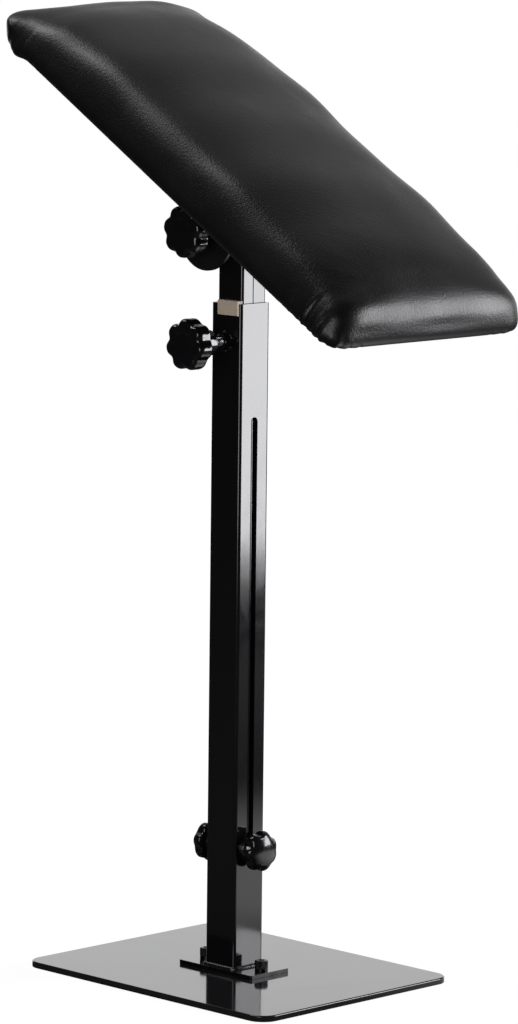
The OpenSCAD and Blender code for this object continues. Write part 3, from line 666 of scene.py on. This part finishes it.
# each face, as shares: height in the head, radius, and depth of the valleys between the lobes
flank = [(0.00, 0.880, 0.55), (0.03, 0.930, 0.70), (0.10, 0.980, 0.85), (0.22, 1.0, 1.0)]
dished = flank + [(0.48, 1.0, 1.05), (0.74, 1.0, 1.1), (0.88, 0.97, 1.3), (0.97, 0.91, 1.6),
                  (1.0, 0.82, 1.8), (0.985, 0.62, 1.2), (0.96, 0.42, 0.0), (0.955, 0.2, 0.0)]
domed = flank + [(0.42, 1.0, 1.1), (0.56, 0.97, 0.9), (0.70, 0.89, 0.5), (0.82, 0.76, 0.2),
                 (0.92, 0.56, 0.05), (0.98, 0.32, 0.0), (1.0, 0.1, 0.0)]
large = {"d": 0.050, "h": 0.0355, "head_h": 0.018, "hub_d": 0.025, "face": dished}
small = {"d": 0.040, "h": 0.022, "head_h": 0.015, "hub_d": 0.020, "face": domed}
for_stud = {"bore_r": 0.00405, "bore_l": 0.018}
for_insert = {"bore_r": 0.00605, "bore_l": 0.01415}
knob_black = painted("knob_gloss_black", (0.005, 0.005, 0.006), gloss=0.11, dull=0.2,
                     peel=260, rubs=60, dust=0.03, depth=0.00004)


def star_knob(node, body, place, valley, d, h, head_h, hub_d, face, bore_r, bore_l):
    """A knob that stands on its hub's end at place. The valley is how deep the lobes are cut."""
    foot = h - head_h
    hub_r, head_r = hub_d / 2, d / 2
    rings = [(bore_l, 0, 0), (bore_l, bore_r, 0), (0.0004, bore_r, 0), (0, bore_r + 0.0004, 0),
             (0, hub_r - 0.0010, 0), (0.0001, hub_r - 0.0005, 0),
             (0.0004, hub_r - 0.0001, 0), (0.0010, hub_r, 0),
             (foot * 0.5, hub_r * 1.03, 0), (foot * 0.85, hub_r * 1.07, 0),
             (foot - 0.0008, hub_r * 1.10, 0), (foot - 0.0002, hub_r * 1.14, 0),
             (foot, hub_r * 1.20, 0), (foot, head_r * 0.80, valley * 0.45)]
    rings += smooth_rings([(foot + head_h * z, head_r * r, valley * v) for z, r, v in face], 4)
    rings.append((foot + head_h * face[-1][0], 0, 0))
    knob = rolled(node + "_moulded", rings, 196, lobes)
    knob.data.transform(place)
    dress(knob, knob_black)
    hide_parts(node)
    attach(knob, body)


def turned(degrees, axis):
    return Matrix.Rotation(radians(degrees), 4, axis)


tilt_shown = 30.9
hinge_at = Vector(joints["pad_tilt"]["pos_m"])
hinge_place = Matrix.Translation(hinge_at) @ turned(tilt_shown, "Y")
clamp_seat, tilt_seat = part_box("clamp_knob")[1].y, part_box("tilt_knob")[1].y - hinge_at.y
slot_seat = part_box("front_slot_knob")[0].x
slot_bolt_z = joints["front_nut_turn"]["pos_m"][2]
star_knob("clamp_knob", "clamp_grip", Matrix.Translation((0, clamp_seat, clamp_z)) @ to_minus_y,
          valley=0.0027, **large, **for_stud)
star_knob("tilt_knob", "tilt_grip",
          hinge_place @ Matrix.Translation((0, tilt_seat, 0)) @ to_minus_y @ turned(5, "Z"),
          valley=0.0024, **large, **for_insert)
star_knob("front_slot_knob", "front_grip",
          Matrix.Translation((slot_seat, 0, slot_bolt_z)) @ turned(90, "Y") @ turned(26, "Z"),
          valley=0.0028, **small, **for_insert)
star_knob("rear_slot_knob", "rear_grip",
          Matrix.Translation((-slot_seat, 0, slot_bolt_z)) @ turned(-90, "Y") @ turned(37, "Z"),
          valley=0.0028, **small, **for_insert)

# Inner tube and slot bolt.
# A square tube of 33 mm slides in the outer one and is coated the same. An M8 stud crosses it
# near its foot, runs in both slots and carries a zinc washer and a slot knob at each end.

seam_r, overrun = 0.0006, 0.01
mast = eased_copy("inner_tube", width=0.0003)
# the rolled strip's butt seam shows as a fine groove down the middle of the +X face
mast_low, mast_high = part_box("inner_tube")
bpy.ops.mesh.primitive_cylinder_add(
    vertices=4, radius=seam_r, depth=mast_high.z - mast_low.z + overrun,
    location=(mast_high.x, 0, (mast_low.z + mast_high.z) / 2))
cut_away(mast, bpy.context.object)
flat_faces_shaded_flat(mast)
dress(mast, tube_paint)
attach(mast, "mast")
for node in ("slot_bolt", "slot_washers"):
    piece = eased_copy(node, width=0.0002)
    dress(piece, zinc)
    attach(piece, "mast")
brass = plated("turned_brass", (0.74, 0.55, 0.25), gloss=0.2, dull=0.34)
for node in ("front_knob_insert", "rear_knob_insert", "tilt_knob_insert"):
    dress_node(node, brass)

# Hinge.
# A cross tube welded on the inner tube holds two flanged nylon bushes. The carriage bolt runs
# through them and both ears of the bracket, and the tilt knob pulls the ears against the bushes.

bracket_paint = painted("bracket_black", (0.009, 0.009, 0.010), gloss=0.2, dull=0.32,
                        peel=900, rubs=40, dust=0.05, depth=0.00001)
for node, width, material, body, finish in (
        ("hinge_sleeve", 0.0004, bracket_paint, "mast", "bracket_black"),
        ("hinge_bolt", 0.0003, zinc, "rest", "zinc"),
        ("tilt_bracket", 0.0004, bracket_paint, "rest", "bracket_black"),
        ("bracket_screws", 0.0002, zinc, "rest", "zinc"),
        ("bracket_washers", 0.0002, zinc, "rest", "zinc")):
    piece = eased_copy(node, width)
    dress(piece, material)
    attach(piece, body)
bush, tree, skin = new_material("bush_nylon_white")
cloudy = noise(tree, coordinates(tree), (-700, 0), Scale=240.0, Detail=4.0)
colour_by(tree, skin, cloudy.outputs["Fac"], (0.72, 0.70, 0.64), (0.82, 0.80, 0.74))
skin.inputs["Roughness"].default_value = 0.45
dress_node("hinge_bushes", bush)

# Board and underside cloth.
# A plywood board carries the pad, with four tee nuts pressed in for the bracket's screws. A
# black non-woven cloth is stretched under it inside the cover's stapled hem.

ply, tree, skin = new_material("birch_ply")
along_grain = add(tree, "ShaderNodeMapping", (-1100, 0), Scale=(9, 160, 160))
join(tree, coordinates(tree), along_grain.inputs["Vector"])
grain = noise(tree, along_grain.outputs["Vector"], (-900, 0), Scale=1.0, Detail=5.0, Distortion=0.8)
colour_by(tree, skin, grain.outputs["Fac"], (0.42, 0.27, 0.14), (0.64, 0.47, 0.28))
skin.inputs["Roughness"].default_value = 0.65
dress_node("pad_board", ply)
dress_node("tee_nuts", zinc)

felt, tree, skin = new_material("underside_felt")
skin.inputs["Roughness"].default_value = 0.9
skin.inputs["Sheen Weight"].default_value = 0.15
fibre = noise(tree, coordinates(tree), (-800, 0), Scale=1500.0, Detail=4.0, Distortion=1.5)
# painted shade: the colour follows the fibres' relief and is darker in its hollows
colour_by(tree, skin, fibre.outputs["Fac"], (0.008, 0.008, 0.009), (0.030, 0.030, 0.032))
relief_by(tree, skin, fibre.outputs["Fac"], depth=0.0002)
cloth = eased_copy("underside_cloth", width=0.0002)
dress(cloth, felt)
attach(cloth, "rest")

# Pad.
# Foam under a cover of black synthetic leather, drawn down over the board and stapled below.
# It is full and satin, a little uneven along its length, and gathered where it turns a corner.

# It is shaped lying level: X runs to its low end, Y to its far side, and Z up from its hem.
half_l, half_w, corner_r = 0.262, 0.1265, 0.016
off_hinge, above_hinge = -0.0106, 0.043
pad_place = hinge_place @ Matrix.Translation((off_hinge, 0, above_hinge))
pad = bpy.data.objects.new("pad_cushion", nodes["pad_cover"].data.copy())
bpy.context.scene.collection.objects.link(pad)
pad.data.materials.clear()
pad.data.transform(pad_place.inverted())
only(pad)
bpy.ops.object.mode_set(mode="EDIT")
bpy.ops.mesh.select_all(action="SELECT")
bpy.ops.mesh.convex_hull()
bpy.ops.object.mode_set(mode="OBJECT")
even_mesh = pad.modifiers.new("even_mesh", "REMESH")
even_mesh.mode = "VOXEL"
even_mesh.voxel_size = 0.0045
relax = pad.modifiers.new("relax", "SMOOTH")
relax.iterations = 6
apply_modifiers(pad)


def ramp(x, low, high):
    """0 below low, 1 above high, and a smooth rise between them."""
    t = min(max((x - low) / (high - low), 0), 1)
    return t * t * (3 - 2 * t)


def bell(x, middle, width):
    """1 at the middle, falling away to both sides."""
    return exp(-((x - middle) / width) ** 2)


# Broad soft shoulders: the foam's upper edges are rubbed round before the cover goes on. The
# near side's shoulder is rubbed less.
near_spared = 0.45
upper = pad.vertex_groups.new(name="upper")
for vertex in pad.data.vertices:
    c = vertex.co
    share = ramp(c.z, 0.012, 0.034) * (1 - near_spared * ramp(-c.y, 0.02, 0.08))
    upper.add([vertex.index], share, "REPLACE")
rubbed = pad.modifiers.new("rubbed_round", "SMOOTH")
rubbed.iterations = 30
rubbed.vertex_group = "upper"
apply_modifiers(pad)
pad.vertex_groups.clear()


def fullness(c):
    """How far the foam stands out over its block: most at both ends and in the far swells."""
    far = ramp(c.y, 0.06, 0.11)
    ends = ramp(abs(c.x), 0.225, 0.258) * (1 if c.x > 0 else ramp(c.z, 0.004, 0.024))
    full = all_round + at_ends * ends - less_at_far_side * far
    for at, wide, swell in far_swells:
        full += far * swell * bell(c.x, at, wide)
    # the high end falls away on its far side, and at the foot of its near corner
    full -= far_fall * ramp(c.y, 0.04, 0.11) * ramp(-c.x, 0.12, 0.21)
    foot = 1 - ramp(c.z, 0.008, 0.020)
    full -= corner_hollow * ramp(-c.x, 0.228, 0.255) * ramp(-c.y, 0.09, 0.12) * foot
    # but that corner is stuffed out at half its height
    belly = ramp(c.z, 0.008, 0.020) * (1 - ramp(c.z, 0.026, 0.038))
    return full + corner_belly * belly * ramp(-c.x, 0.235, 0.258) * ramp(-c.y, 0.07, 0.115)


all_round, at_ends, less_at_far_side = 0.0032, 0.0030, 0.0010
far_swells = ((-0.060, 0.052, 0.0034), (0.112, 0.044, 0.0038), (0.210, 0.042, 0.0024))
far_fall, corner_hollow, corner_belly = 0.0036, 0.0030, 0.0036
high_end_lift, corner_drawn_down = 0.0010, 0.0086
valley_z, valley_wide, valley_deep, valley_uneven = 0.023, 0.008, 0.0011, 0.0006
normals = [v.normal.copy() for v in pad.data.vertices]
for vertex, normal in zip(pad.data.vertices, normals):
    c = vertex.co
    wall = ramp(c.z, 0.0, 0.010)
    far = ramp(c.y, 0.06, 0.11)
    high_end = ramp(-c.x, 0.16, 0.24) * ramp(c.z, 0.018, 0.036)
    c += normal * fullness(c) * wall
    c.z += high_end_lift * high_end * (1 - far)
    # the cover draws the high end down towards its near corner, over half its width
    near_corner = ramp(-c.x, 0.198, 0.260) * ramp(-c.y, -0.010, 0.125)
    c.z -= corner_drawn_down * near_corner * ramp(c.z, 0.014, 0.044)
    # the low end is drawn in along a shallow valley between its shoulder and its foot
    valley = ramp(c.x, 0.245, 0.258) * bell(c.z, valley_z, valley_wide)
    c -= normal * valley * (valley_deep + valley_uneven * sin(47 * c.y + 0.8))
starts = [v.co.copy() for v in pad.data.vertices]

# The filled cover swells where it isn't stapled, as the cloth simulation works out.
held = pad.vertex_groups.new(name="stapled")
for i, c in enumerate(starts):
    held.add([i], 1 - ramp(c.z, 0.003, 0.010), "REPLACE")
stuffing = pad.modifiers.new("stuffing", "CLOTH")
stuffing.settings.use_pressure = True
stuffing.settings.uniform_pressure_force = 25
stuffing.settings.vertex_group_mass = "stapled"
stuffing.settings.effector_weights.gravity = 0
stuffing.settings.tension_stiffness = 25
stuffing.settings.compression_stiffness = 25
stuffing.settings.bending_stiffness = 5
stage_now = bpy.context.scene
for frame_now in range(1, 21):
    stage_now.frame_set(frame_now)
swollen = pad.evaluated_get(bpy.context.evaluated_depsgraph_get())
pulled = [v.co.copy() for v in swollen.data.vertices]
pad.modifiers.remove(stuffing)
stage_now.frame_set(1)
# the foam inside holds the cover, so no point moves by more than this
limit = 0.0042
moves = []
for start, c in zip(starts, pulled):
    move = c - start
    moves.append(move * limit * (1 - exp(-move.length / limit)) / max(move.length, 1e-9))
# and it evens out the creases that the bare cover would have
beside = [[] for _ in moves]
for edge in pad.data.edges:
    a, b = edge.vertices
    beside[a].append(b)
    beside[b].append(a)
for _ in range(16):
    moves = [sum((moves[k] for k in near), move) / (len(near) + 1)
             for move, near in zip(moves, beside)]
for vertex, start, move in zip(pad.data.vertices, starts, moves):
    vertex.co = start + move
finer = pad.modifiers.new("finer", "SUBSURF")
finer.levels = 1
apply_modifiers(pad)
only(pad)
bpy.ops.object.shade_smooth()


def way_round(dx, dy):
    """Way round the lower edge from the middle of the corner, more than 0 along the side.

    The place is given as how far it lies past the centre of the corner's arc, in x and in y.
    """
    if dx > 0 and dy > 0:
        return corner_r * (atan2(dy, dx) - pi / 4)
    quarter = corner_r * pi / 4
    return -dx + quarter if dy > 0 else dy - quarter


# Each pleat's place along the lower edge, its depth and how high it runs up.
pleats = ((0.006, 0.0011, 0.020), (0.015, 0.0015, 0.030), (0.024, 0.0010, 0.018),
          (0.034, 0.0014, 0.034), (0.043, 0.0007, 0.016), (0.055, 0.0007, 0.024),
          (0.072, 0.0004, 0.018), (-0.008, 0.0009, 0.020), (-0.020, 0.0006, 0.016),
          (-0.034, 0.0004, 0.014))
pleat_wide, lip_wide, lip_off, lip_share = 0.0024, 0.0022, 0.0038, 0.6
pleats_reach, along_side, along_end = 0.048, 0.12, 0.07
at_low_near, at_low_far, at_high_end = 1.3, 0.6, 0.25
normals = [v.normal.copy() for v in pad.data.vertices]
for vertex, normal in zip(pad.data.vertices, normals):
    c = vertex.co
    top = ramp(c.z, 0.030, 0.050)
    side = ramp(c.z, 0.004, 0.020) * (1 - top)
    # gentle waves where hands and arms have pressed the foam
    c.z += top * (0.0007 * sin(36 * c.x + 7 * c.y) + 0.0005 * sin(61 * c.x - 19 * c.y + 1.3))
    c += normal * side * 0.0005 * sin(43 * c.x + 3.1)
    # gathers of the cover at each lower corner, strongest where the low end meets the -Y side
    low_end, near_side = c.x > 0, c.y < 0
    dx, dy = abs(c.x) - (half_l - corner_r), abs(c.y) - (half_w - corner_r)
    if c.z > pleats_reach or dx < -along_side or dy < -along_end or (dx < 0 and dy < 0):
        continue
    s = way_round(dx, dy)
    weight = at_low_near if low_end and near_side else at_low_far if low_end else at_high_end
    foot = ramp(c.z, 0.0, 0.004)
    for at, deep, high in pleats:
        rise = 1 - ramp(c.z, high * 0.35, high * 1.3)
        if rise > 0 and abs(s - at) < 0.012:
            fold = bell(s, at, pleat_wide) - lip_share * bell(s, at + lip_off, lip_wide)
            c -= normal * weight * deep * rise * fold * foot

# The hem lies flat on the board, and inside its opening the skin stands back behind the cloth.
hem_edge, hem_wide, cloth_back = 0.008, 0.0255, 0.0010
spare_at, spare_wide, spare_high = (-0.232, 0.003), 0.009, 0.008
spare_hang = Vector((0, -0.0020, -0.0036))
for vertex in pad.data.vertices:
    c = vertex.co
    if c.z < 0.0024 and abs(c.x) < half_l - hem_edge and abs(c.y) < half_w - hem_edge:
        inside = abs(c.x) < half_l - hem_wide and abs(c.y) < half_w - hem_wide
        c.z = cloth_back if inside else 0.0
    c.z = max(c.z, 0)
    # a fold of spare cover hangs under the near corner of the high end
    fold = bell(c.x, spare_at[0], spare_wide) * bell(c.z, spare_at[1], spare_high)
    if c.y < -0.105 and fold > 0.01:
        c += spare_hang * fold * ramp(-c.y, 0.105, 0.120)
pad.data.transform(pad_place)

leather, tree, skin = new_material("synthetic_leather_black")
skin.inputs["Specular IOR Level"].default_value = 0.42
where = coordinates(tree)
pebble = add(tree, "ShaderNodeTexVoronoi", (-1100, 200), feature="SMOOTH_F1",
             Scale=520.0, Randomness=0.9)
join(tree, where, pebble.inputs["Vector"])
creases = noise(tree, where, (-1100, -100), Scale=420.0, Detail=5.0, Distortion=1.2)
worn = noise(tree, where, (-1100, -400), Scale=17.0, Detail=4.0, Roughness=0.6)
relief = add(tree, "ShaderNodeMath", (-800, 100), operation="ADD")
join(tree, pebble.outputs["Distance"], relief.inputs[0])
join(tree, creases.outputs["Fac"], relief.inputs[1])
# painted shade: the colour follows the creases' relief and is darker in their hollows
colour_by(tree, skin, creases.outputs["Fac"], (0.0030, 0.0030, 0.0032), (0.0050, 0.0050, 0.0053))
roughness_by(tree, skin, worn.outputs["Fac"], gloss=0.33, dull=0.42, start=0.3, end=0.7)
relief_by(tree, skin, relief.outputs[0], depth=0.00014)
dress(pad, leather)
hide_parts("pad_cover", "pad_foam")
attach(pad, "rest")
